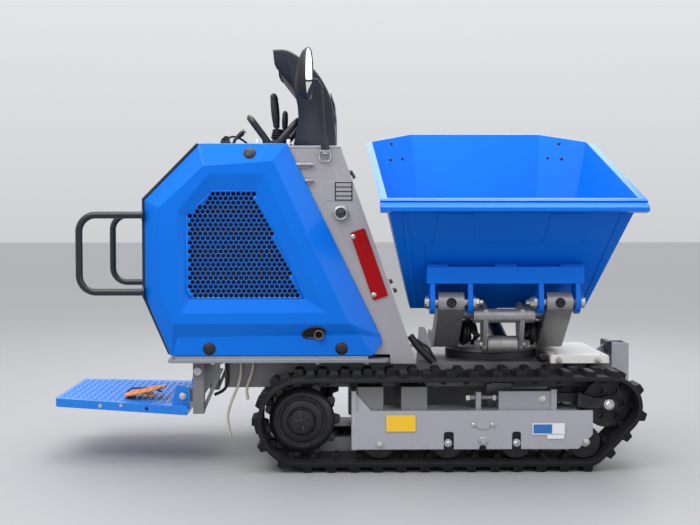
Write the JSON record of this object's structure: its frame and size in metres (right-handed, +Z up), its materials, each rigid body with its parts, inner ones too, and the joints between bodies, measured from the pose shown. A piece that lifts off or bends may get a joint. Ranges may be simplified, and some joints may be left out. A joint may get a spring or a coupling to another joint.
{
  "type": "power wheelbarrow",
  "caption": "Tracked stand-on power wheelbarrow: rubber tracks, engine hood, console tower, folding step and a swivelling, tipping skip",
  "frame": {"origin": "on the ground under the middle of the whole machine's box", "axes": "+X forward, +Y to the machine's left, +Z up"},
  "size_m": [1.875, 0.925, 1.316],
  "materials": {
    "frame_grey": "satin",
    "cover_cream": "satin",
    "tower_silver": "satin",
    "visor_plastic": "satin",
    "panel_black": "matte",
    "hood_blue": "gloss",
    "grille_black": "matte",
    "rail_black": "satin",
    "engine_iron": "cast",
    "exhaust_steel": "heat stained",
    "tank_plastic": "matte",
    "core_aluminium": "finned",
    "fan_plastic": "matte",
    "track_silver": "satin",
    "track_rubber": "moulded",
    "wheel_black": "satin",
    "arm_grey": "metallic satin",
    "ram_black": "satin",
    "rod_chrome": "polished",
    "pin_zinc": "zinc plated",
    "hose_black": "matte",
    "skip_blue": "gloss",
    "step_blue": "satin chequer plate",
    "pedal_orange": "satin",
    "grip_rubber": "matte",
    "mirror_black": "satin",
    "reflector_red": "prismatic",
    "tube_clear": "translucent"
  },
  "bodies": {
    "root": {"chassis_frame": "frame_grey", "deck_plate": "frame_grey", "front_post": "frame_grey", "platform_bracket": "frame_grey", "front_cover": "cover_cream", "console_tower": "tower_silver", "dash_shroud": "visor_plastic", "instrument_panel": "panel_black", "hood_right": "hood_blue", "hood_left": "hood_blue", "hood_top": "hood_blue", "hood_grilles": "grille_black", "grab_rails": "rail_black", "hand_hoops": "rail_black", "engine": "engine_iron", "drive_motors": "engine_iron", "hydraulic_pump": "engine_iron", "slew_ring": "engine_iron", "exhaust": "exhaust_steel", "fluid_tanks": "tank_plastic", "battery": "tank_plastic", "radiator": "core_aluminium", "track_frame_right": "track_silver", "track_right": "track_rubber", "track_frame_left": "track_silver", "track_left": "track_rubber", "lever_boots": "grip_rubber", "reflectors": "reflector_red", "drain_tube_rear": "tube_clear", "drain_tube_front": "tube_clear"},
    "turntable": {"slew_frame": "arm_grey", "tip_pins": "pin_zinc", "ram_hoses": "hose_black"},
    "skip": {"skip_tub": "skip_blue", "tip_bracket": "skip_blue"},
    "ram": {"tip_cylinder": "ram_black"},
    "rod": {"tip_rod": "rod_chrome"},
    "step": {"platform": "step_blue"},
    "pedal_plate": {"pedal": "pedal_orange"},
    "sprocket_right_body": {"sprocket_right": "wheel_black"},
    "tensioner_right_body": {"tensioner_right": "wheel_black"},
    "idler_right_body": {"idler_right": "wheel_black"},
    "roller_right_1_body": {"roller_right_1": "wheel_black"},
    "roller_right_2_body": {"roller_right_2": "wheel_black"},
    "roller_right_3_body": {"roller_right_3": "wheel_black"},
    "roller_right_4_body": {"roller_right_4": "wheel_black"},
    "sprocket_left_body": {"sprocket_left": "wheel_black"},
    "tensioner_left_body": {"tensioner_left": "wheel_black"},
    "idler_left_body": {"idler_left": "wheel_black"},
    "roller_left_1_body": {"roller_left_1": "wheel_black"},
    "roller_left_2_body": {"roller_left_2": "wheel_black"},
    "roller_left_3_body": {"roller_left_3": "wheel_black"},
    "roller_left_4_body": {"roller_left_4": "wheel_black"},
    "fan": {"cooling_fan": "fan_plastic"},
    "drive_lever_right_body": {"drive_lever_right": "grip_rubber"},
    "drive_lever_left_body": {"drive_lever_left": "grip_rubber"},
    "tip_lever_body": {"tip_lever": "grip_rubber"},
    "throttle": {"throttle_lever": "grip_rubber"},
    "mirror_stem": {"mirror_arm": "mirror_black"},
    "mirror_glass_body": {"mirror_head": "mirror_black"}
  },
  "joints": [
    {"name": "slew", "type": "hinge", "parent": "root", "child": "turntable", "pos_m": [0.478, 0.0355, 0.337], "axis": [0, 0, 1], "range_deg": [0, 180]},
    {"name": "tip", "type": "hinge", "parent": "turntable", "child": "skip", "pos_m": [0.478, -0.2655, 0.514], "axis": [1, 0, 0], "range_deg": [0, 72]},
    {"name": "ram_swing", "type": "hinge", "parent": "turntable", "child": "ram", "pos_m": [0.478, -0.2145, 0.376], "axis": [1, 0, 0], "range_deg": [0, 63.22]},
    {"name": "ram_stroke", "type": "slide", "parent": "ram", "child": "rod", "axis": [0, 0.9752, 0.2214], "range_m": [0, 0.15856]},
    {"name": "platform_fold", "type": "hinge", "parent": "root", "child": "step", "pos_m": [-0.526, 0.0355, 0.217], "axis": [0, 1, 0], "range_deg": [0, 55]},
    {"name": "pedal_press", "type": "hinge", "parent": "step", "child": "pedal_plate", "pos_m": [-0.72, -0.092, 0.199], "axis": [0, 1, 0], "range_deg": [0, 8], "stiffness_Nm_per_rad": 8, "springref_deg": -5.73},
    {"name": "sprocket_spin_right", "type": "hinge", "parent": "root", "child": "sprocket_right_body", "pos_m": [-0.1518, -0.2645, 0.152], "axis": [0, 1, 0], "continuous": true},
    {"name": "tension_slide_right", "type": "slide", "parent": "root", "child": "tensioner_right_body", "axis": [1, 0, 0], "range_m": [-0.012, 0]},
    {"name": "idler_spin_right", "type": "hinge", "parent": "tensioner_right_body", "child": "idler_right_body", "pos_m": [0.7972, -0.2645, 0.2], "axis": [0, 1, 0], "continuous": true},
    {"name": "roller_right_1_spin", "type": "hinge", "parent": "root", "child": "roller_right_1_body", "pos_m": [0.0872, -0.2645, 0.084], "axis": [0, 1, 0], "continuous": true},
    {"name": "roller_right_2_spin", "type": "hinge", "parent": "root", "child": "roller_right_2_body", "pos_m": [0.2985, -0.2645, 0.084], "axis": [0, 1, 0], "continuous": true},
    {"name": "roller_right_3_spin", "type": "hinge", "parent": "root", "child": "roller_right_3_body", "pos_m": [0.5098, -0.2645, 0.084], "axis": [0, 1, 0], "continuous": true},
    {"name": "roller_right_4_spin", "type": "hinge", "parent": "root", "child": "roller_right_4_body", "pos_m": [0.7211, -0.2645, 0.084], "axis": [0, 1, 0], "continuous": true},
    {"name": "sprocket_spin_left", "type": "hinge", "parent": "root", "child": "sprocket_left_body", "pos_m": [-0.1518, 0.3355, 0.152], "axis": [0, 1, 0], "continuous": true},
    {"name": "tension_slide_left", "type": "slide", "parent": "root", "child": "tensioner_left_body", "axis": [1, 0, 0], "range_m": [-0.012, 0]},
    {"name": "idler_spin_left", "type": "hinge", "parent": "tensioner_left_body", "child": "idler_left_body", "pos_m": [0.7972, 0.3355, 0.2], "axis": [0, 1, 0], "continuous": true},
    {"name": "roller_left_1_spin", "type": "hinge", "parent": "root", "child": "roller_left_1_body", "pos_m": [0.0872, 0.3355, 0.084], "axis": [0, 1, 0], "continuous": true},
    {"name": "roller_left_2_spin", "type": "hinge", "parent": "root", "child": "roller_left_2_body", "pos_m": [0.2985, 0.3355, 0.084], "axis": [0, 1, 0], "continuous": true},
    {"name": "roller_left_3_spin", "type": "hinge", "parent": "root", "child": "roller_left_3_body", "pos_m": [0.5098, 0.3355, 0.084], "axis": [0, 1, 0], "continuous": true},
    {"name": "roller_left_4_spin", "type": "hinge", "parent": "root", "child": "roller_left_4_body", "pos_m": [0.7211, 0.3355, 0.084], "axis": [0, 1, 0], "continuous": true},
    {"name": "fan_spin", "type": "hinge", "parent": "root", "child": "fan", "pos_m": [-0.42, 0.0355, 0.57], "axis": [1, 0, 0], "continuous": true},
    {"name": "drive_lever_right_tilt", "type": "hinge", "parent": "root", "child": "drive_lever_right_body", "pos_m": [-0.235, -0.0595, 1.018], "axis": [0, 1, 0], "range_deg": [-14, 14], "stiffness_Nm_per_rad": 4},
    {"name": "drive_lever_left_tilt", "type": "hinge", "parent": "root", "child": "drive_lever_left_body", "pos_m": [-0.235, -0.0045, 1.018], "axis": [0, 1, 0], "range_deg": [-14, 14], "stiffness_Nm_per_rad": 4},
    {"name": "tip_lever_tilt", "type": "hinge", "parent": "root", "child": "tip_lever_body", "pos_m": [-0.219, 0.0955, 1.018], "axis": [0, 1, 0], "range_deg": [-14, 14], "stiffness_Nm_per_rad": 4},
    {"name": "throttle_turn", "type": "hinge", "parent": "root", "child": "throttle", "pos_m": [-0.378, -0.0645, 1.018], "axis": [0, 1, 0], "range_deg": [-20, 25]},
    {"name": "mirror_swivel", "type": "hinge", "parent": "root", "child": "mirror_stem", "pos_m": [-0.079, -0.2325, 1], "axis": [0, 0, 1], "range_deg": [-20, 60]},
    {"name": "mirror_tilt", "type": "hinge", "parent": "mirror_stem", "child": "mirror_glass_body", "pos_m": [-0.142, -0.2325, 1.197], "axis": [0, 1, 0], "range_deg": [-20, 20]}
  ],
  "couplings": [
    {"joint": "ram_swing", "follows": "tip", "ratio": 0.87736},
    {"joint": "ram_stroke", "follows": "tip", "m_per_rad": 0.12601},
    {"joint": "idler_spin_right", "follows": "sprocket_spin_right", "ratio": 1.5035},
    {"joint": "roller_right_1_spin", "follows": "sprocket_spin_right", "ratio": 2.13},
    {"joint": "roller_right_2_spin", "follows": "sprocket_spin_right", "ratio": 2.13},
    {"joint": "roller_right_3_spin", "follows": "sprocket_spin_right", "ratio": 2.13},
    {"joint": "roller_right_4_spin", "follows": "sprocket_spin_right", "ratio": 2.13},
    {"joint": "idler_spin_left", "follows": "sprocket_spin_left", "ratio": 1.5035},
    {"joint": "roller_left_1_spin", "follows": "sprocket_spin_left", "ratio": 2.13},
    {"joint": "roller_left_2_spin", "follows": "sprocket_spin_left", "ratio": 2.13},
    {"joint": "roller_left_3_spin", "follows": "sprocket_spin_left", "ratio": 2.13},
    {"joint": "roller_left_4_spin", "follows": "sprocket_spin_left", "ratio": 2.13}
  ]
}
